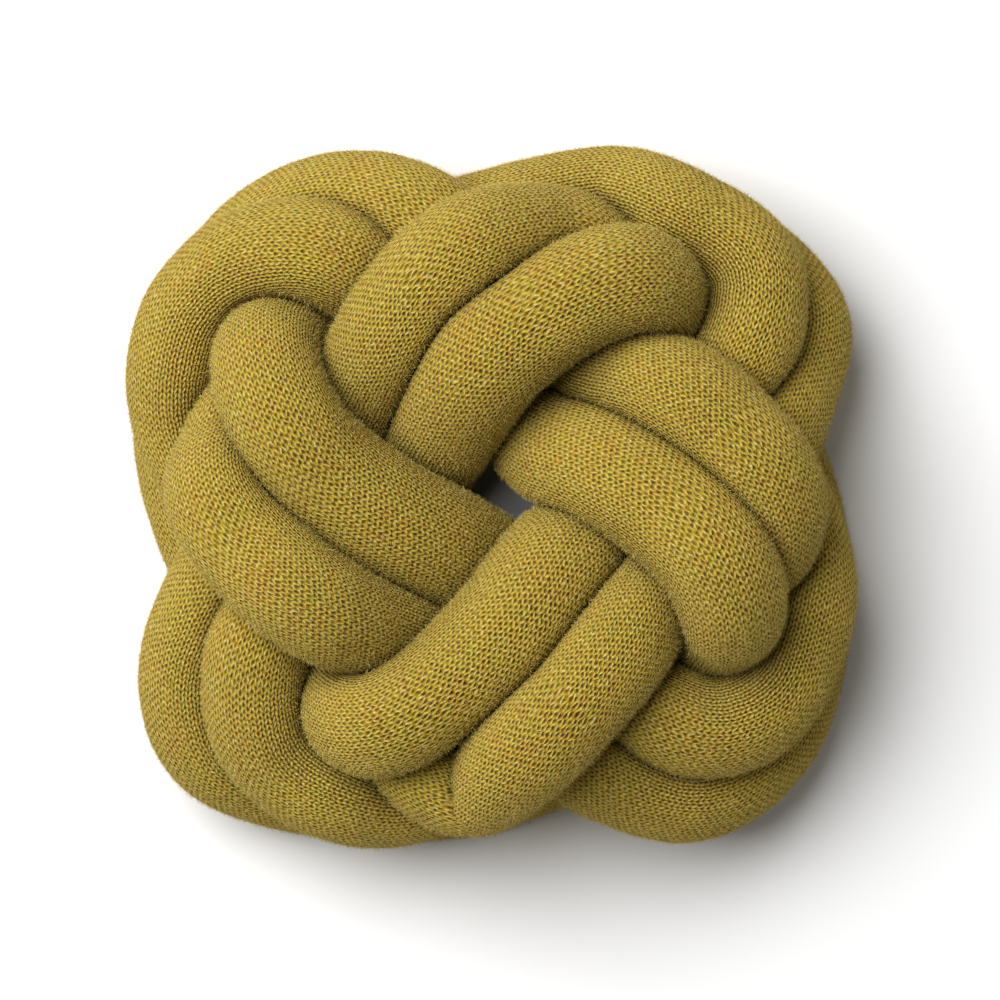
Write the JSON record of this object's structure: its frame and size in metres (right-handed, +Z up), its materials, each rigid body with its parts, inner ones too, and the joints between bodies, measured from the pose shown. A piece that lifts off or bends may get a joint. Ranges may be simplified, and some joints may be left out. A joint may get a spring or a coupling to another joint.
{
  "type": "knot cushion",
  "caption": "Soft knot cushion: a long stuffed knitted tube laid double round a square interlaced knot of corner lobes and crossing bars, lying on its back.",
  "frame": {"origin": "centre of the bounding box in plan, on the ground under the cushion", "axes": "+Z up, out of the face; +X to the right and +Y to the top of the face as pictured"},
  "size_m": [0.302, 0.2906, 0.1409],
  "materials": {
    "mustard_wool_knit": "matt heather stockinette knit with a fine woolly nap"
  },
  "bodies": {
    "root": {"knot_tube": "mustard_wool_knit"}
  },
  "joints": []
}
